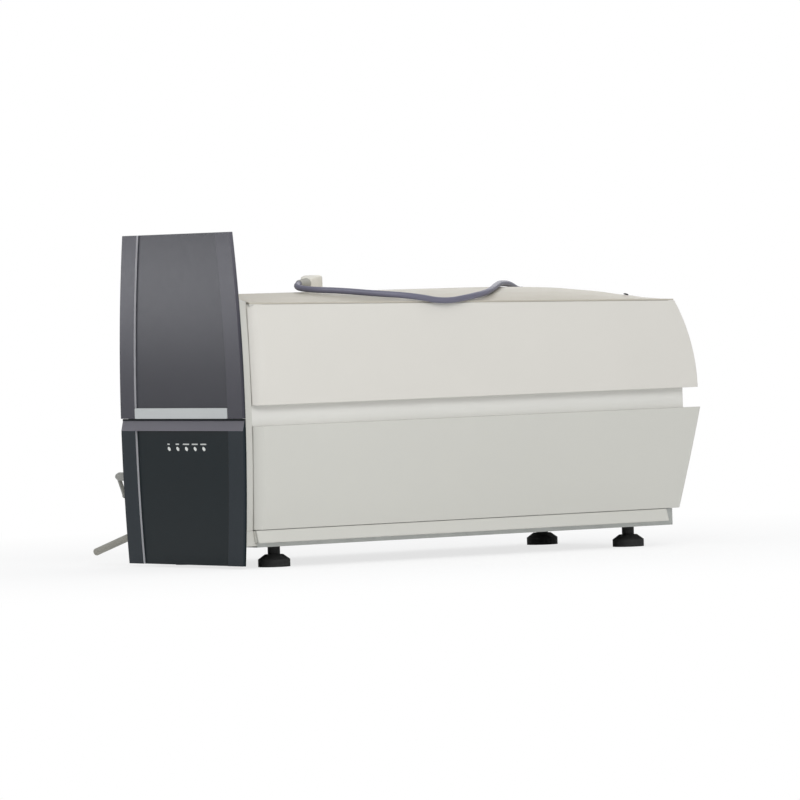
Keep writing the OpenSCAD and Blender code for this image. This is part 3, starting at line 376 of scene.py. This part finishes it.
plug_frame = axes(at(*ROUTE[-1]), Vector((math.cos(PLUG_HEADING), math.sin(PLUG_HEADING), 0)))
bm = bmesh.new()
sections = []
for k in range(RELIEF_STEPS + 1):
    r = RELIEF_RADIUS + RELIEF_TAPER * k / RELIEF_STEPS
    if 4 < k < 27 and k % 4 < 2:
        r -= RIB_DEPTH
    sections.append(round_section(r, k * RELIEF_STEP))
rings(bm, sections, plug_frame)
relief = piece("relief", from_bmesh("relief", bm), "root", relief_grey)
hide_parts("strain_relief")

bm = bmesh.new()
sections = []
for k in range(PLUG_STEPS + 1):
    t = k / PLUG_STEPS
    grow = min(1, t * 1.7)
    waist = WAIST_DEPTH * math.exp(-((t - WAIST_AT) / WAIST_REACH) ** 2)
    a, b = (half + flare * grow - waist for half, flare in zip(PLUG_HALF, PLUG_FLARE))
    if t > FACE_FROM:
        a, b = a - FACE_INSET, b - FACE_INSET
    sections.append(oval_section(a, b, PLUG_START + PLUG_LENGTH * t, power=7))
rings(bm, sections, plug_frame)
plug = piece("plug_body", from_bmesh("plug_body", bm), "root", cream)
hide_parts("mains_plug")

# ---------- Small pieces ----------
# Bare marks over the five lenses, each from one x to another
MARK_SPANS = ((-49, -42), (-24, -14), (-2, 17), (25, 43), (51, 69))
MARK_HALF_HEIGHT, MARK_RISE = 0.0011, 0.00012
bm = bmesh.new()
for x0, x1 in MARK_SPANS:
    dash = [oval_section((x1 - x0) / 2000, MARK_HALF_HEIGHT, z, power=6, n=20) for z in (0, MARK_RISE)]
    middle = at((x0 + x1) / 2, 3.4, 200)
    rings(bm, dash, axes(middle, Vector((0, -1, 0)), Vector((1, 0, 0))))
piece("lens_marks", from_bmesh("lens_marks", bm, smooth=False), "root",
      material("mark_ink", (206, 208, 205), rough=0.5, bump=0.1, tint=0.03, edge=0))


def plates(name, outline, y0, y1, finish):
    """A sheet with an outline in x and z on the right side, and its mirror image on the left."""
    bm = bmesh.new()
    for side in (-1, 1):
        rings(bm, [[at(side * x, y, z) for x, z in outline] for y in (y0, y1)], Matrix())
    return piece(name, from_bmesh(name, bm, smooth=False), "root", finish)


# Sheets that close the gaps of the plain CAD: beside the door's frame, at the skirts' front ends, and under the
# roof's front corners. The dark strip in the seam between the front covers is painted shadow.
plates("frame_cheeks", [(128.3, 414.6), (165.6, 414.6), (164.7, 427.4), (150, 430.6), (128.3, 433.2)], 9, 26.4,
       inner_white)
plates("skirt_ends", [(153, 42.2), (162.6, 42.2), (176.0, 42.2), (175.4, 44), (170.2, 60.6), (153, 60.6)],
       24.6, 26.2, inner_white)
# A dark strip in the seam between the front covers: painted shadow
plates("seam_seal", [(0, 237.8), (184.4, 237.8), (184.4, 240.9), (0, 240.9)], 2.9, 6,
       material("seam_rubber", (16, 22, 28), rough=0.6, bump=0.2, grain=1500, tint=0.1, spec=0.2, edge=0))
plates("skirt_returns", [(153, 36.2), (171.2, 36.2), (171.0, 38), (167.2, 60.6), (153, 60.6)], 8, 29.4,
       inner_white)
plates("roof_corner_pads", [(150, 421.4), (173.6, 420.9), (173.8, 423.3), (150, 423.3)], 26.4, 50,
       inner_white)

# A dark plug near the roof's rear corner
bm = bmesh.new()
profile = [(0.0042, 0), (0.0042, 0.0009), (0.0036, 0.0016), (0.0022, 0.0021), (0.0008, 0.0023)]
tilt = axes(at(140, 790, 418), Vector((0.25, 0.15, 1)), Vector((1, 0, 0)))
rings(bm, [round_section(r, z) for r, z in profile], tilt)
piece("roof_plug", from_bmesh("roof_plug", bm), "root", black)


# ---------- Floor, world and lights ----------
# How far from the middle, in metres, the floor begins and ends its fade to white
WHITE_FROM_TO = (0.6, 1.6)
FLOOR_RADIUS = 40
# How bright the world is below the horizon and overhead
WORLD_UP = (-0.1, 0.9)
WORLD_STRENGTH = (0.40, 0.74)


def whitened(name, rgb, share):
    """A plain pale surface that the camera sees nearly white, with its shadows kept."""
    m = bpy.data.materials.new(name)
    m.use_nodes = True
    tree = m.node_tree
    shader = tree.nodes["Principled BSDF"]
    shader.inputs["Base Color"].default_value = (*linear(rgb), 1)
    shader.inputs["Roughness"].default_value = 0.9
    shader.inputs["Specular IOR Level"].default_value = 0.1
    glow = add_node(tree, "ShaderNodeEmission", Color=(1, 1, 1, 1))
    path = add_node(tree, "ShaderNodeLightPath")
    place = add_node(tree, "ShaderNodeTexCoord")
    reach = add_node(tree, "ShaderNodeVectorMath", operation="LENGTH")
    tree.links.new(place.outputs["Object"], reach.inputs[0])
    scale = add_node(tree, "ShaderNodeMath", operation="MULTIPLY")
    tree.links.new(path.outputs["Is Camera Ray"], scale.inputs[0])
    tree.links.new(ramp(tree, reach.outputs["Value"], *WHITE_FROM_TO, share, 1), scale.inputs[1])
    mix = add_node(tree, "ShaderNodeMixShader")
    for socket, source in enumerate((scale.outputs[0], shader.outputs[0], glow.outputs[0])):
        tree.links.new(source, mix.inputs[socket])
    tree.links.new(mix.outputs[0], tree.nodes["Material Output"].inputs["Surface"])
    return m


bm = bmesh.new()
bmesh.ops.create_circle(bm, cap_ends=True, segments=96, radius=FLOOR_RADIUS)
floor = bpy.data.objects.new("floor", from_bmesh("floor", bm, smooth=False))
floor.data.materials.append(whitened("floor_pale", (246, 246, 246), 0.75))
bpy.context.scene.collection.objects.link(floor)

world = bpy.data.worlds.new("studio")
bpy.context.scene.world = world
world.use_nodes = True
tree = world.node_tree
back = tree.nodes["Background"]
back.inputs["Color"].default_value = (0.97, 0.985, 1, 1)
height = add_node(tree, "ShaderNodeSeparateXYZ")
tree.links.new(add_node(tree, "ShaderNodeTexCoord").outputs["Generated"], height.inputs[0])
tree.links.new(ramp(tree, height.outputs["Z"], *WORLD_UP, *WORLD_STRENGTH), back.inputs["Strength"])
white = add_node(tree, "ShaderNodeBackground", Color=(1, 1, 1, 1), Strength=1.0)
path = add_node(tree, "ShaderNodeLightPath")
mix = add_node(tree, "ShaderNodeMixShader")
for socket, source in enumerate((path.outputs["Is Camera Ray"], back.outputs[0], white.outputs[0])):
    tree.links.new(source, mix.inputs[socket])
tree.links.new(mix.outputs[0], tree.nodes["World Output"].inputs["Surface"])


def lamp(name, place, aim, size, power, tone=(1, 1, 1)):
    """A rectangular lamp at a place, turned to a point it aims at."""
    data = bpy.data.lights.new(name, "AREA")
    data.shape = "RECTANGLE"
    data.size, data.size_y = size
    data.energy = power
    data.color = tone
    obj = bpy.data.objects.new(name, data)
    bpy.context.scene.collection.objects.link(obj)
    obj.location = place
    obj.rotation_euler = (Vector(aim) - Vector(place)).to_track_quat("-Z", "Y").to_euler()


lamp("key", (3.2, -1.2, 2.4), (0.1, 0.1, 0.3), (2.4, 1.6), 59)
lamp("front", (-1.35, -1.40, 0.47), (0.05, -0.45, 0.45), (0.9, 0.2), 1.2, (0.94, 0.95, 1))
lamp("top", (0.0, 0.3, 3.4), (0, 0.2, 0.3), (2.0, 2.4), 4)
lamp("rear_fill", (-2.4, 2.6, 1.8), (0, 0.3, 0.3), (2.0, 1.6), 18)
